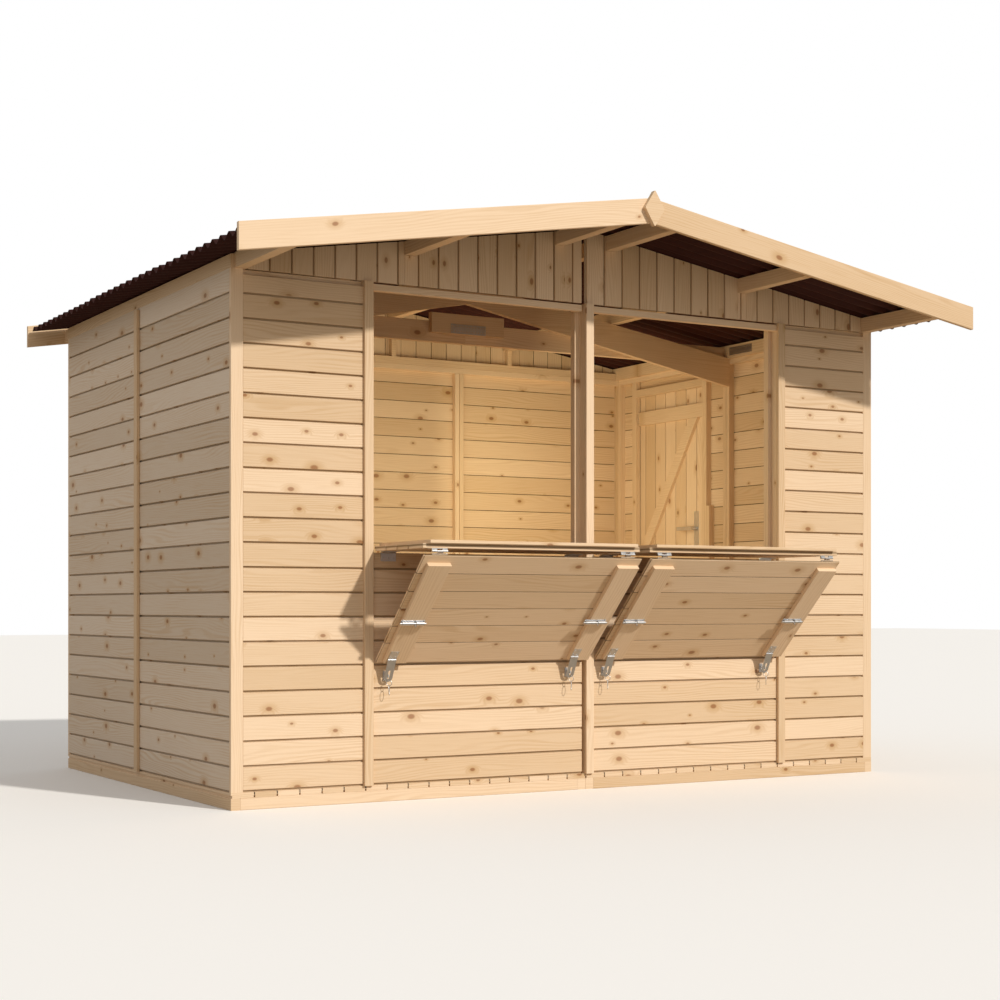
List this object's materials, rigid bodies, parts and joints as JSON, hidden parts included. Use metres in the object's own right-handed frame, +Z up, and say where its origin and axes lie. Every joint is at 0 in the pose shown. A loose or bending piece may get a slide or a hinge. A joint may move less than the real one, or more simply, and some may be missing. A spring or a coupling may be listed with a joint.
{
  "type": "wooden market stall",
  "caption": "Board-clad timber sales hut with a low gable roof, two fold-down front counters with hanging flaps, and a ledged side door.",
  "frame": {"origin": "centre of the footprint on the ground", "axes": "+Z up, the two hatches face -Y, +X to the right seen from the front, the door is in the +X side wall"},
  "size_m": [3.374, 2.605, 2.331],
  "materials": {
    "pine": "planed softwood, unpainted",
    "planed_pine": "planed pale softwood, unpainted",
    "roofing": "corrugated bitumen sheet, dark red-brown",
    "zinc": "bright zinc plate"
  },
  "bodies": {
    "stall": {"floor_bearers": "pine", "floor_joists": "pine", "floor_boards": "pine", "front_cladding": "planed_pine", "hatch_cladding": "planed_pine", "left_cladding": "pine", "right_cladding": "pine", "rear_cladding": "pine", "front_gable": "planed_pine", "rear_gable": "pine", "front_studs": "pine", "rear_studs": "pine", "left_studs": "pine", "right_studs": "pine", "wall_rails": "pine", "hatch_rails": "pine", "door_head": "pine", "corner_trims": "planed_pine", "joint_trims": "planed_pine", "eave_strips": "pine", "purlins": "pine", "gable_framing": "pine", "truss_rafters": "pine", "truss_tie": "pine", "truss_gusset": "pine", "nail_plates": "zinc", "roof_left": "roofing", "roof_right": "roofing", "ridge_cap": "roofing", "front_bargeboards": "planed_pine", "rear_bargeboards": "pine", "finial": "planed_pine", "hatch_wall_fittings": "zinc", "door_hinge_plates": "zinc"},
    "left_counter": {"left_counter": "pine", "left_worktop": "planed_pine", "left_counter_hinges": "zinc"},
    "left_flap": {"left_flap": "pine", "left_battens": "pine", "left_flap_fittings": "zinc"},
    "right_counter": {"right_counter": "pine", "right_worktop": "planed_pine", "right_counter_hinges": "zinc"},
    "right_flap": {"right_flap": "pine", "right_battens": "pine", "right_flap_fittings": "zinc"},
    "door": {"door_leaf": "pine", "door_ledges": "pine", "door_fittings": "zinc"}
  },
  "joints": [
    {"name": "left_counter_fold", "type": "hinge", "parent": "stall", "child": "left_counter", "pos_m": [-0.482, -1.004, 0.946], "axis": [-1, 0, 0], "range_deg": [0, 90]},
    {"name": "left_flap_fold", "type": "hinge", "parent": "left_counter", "child": "left_flap", "pos_m": [-0.482, -1.401, 0.94], "axis": [-1, 0, 0], "range_deg": [0, 135]},
    {"name": "right_counter_fold", "type": "hinge", "parent": "stall", "child": "right_counter", "pos_m": [0.51, -1.004, 0.946], "axis": [-1, 0, 0], "range_deg": [0, 90]},
    {"name": "right_flap_fold", "type": "hinge", "parent": "right_counter", "child": "right_flap", "pos_m": [0.51, -1.401, 0.94], "axis": [-1, 0, 0], "range_deg": [0, 135]},
    {"name": "door_swing", "type": "hinge", "parent": "stall", "child": "door", "pos_m": [1.536, 0.792, 1], "axis": [0, 0, 1], "range_deg": [0, 110]}
  ]
}
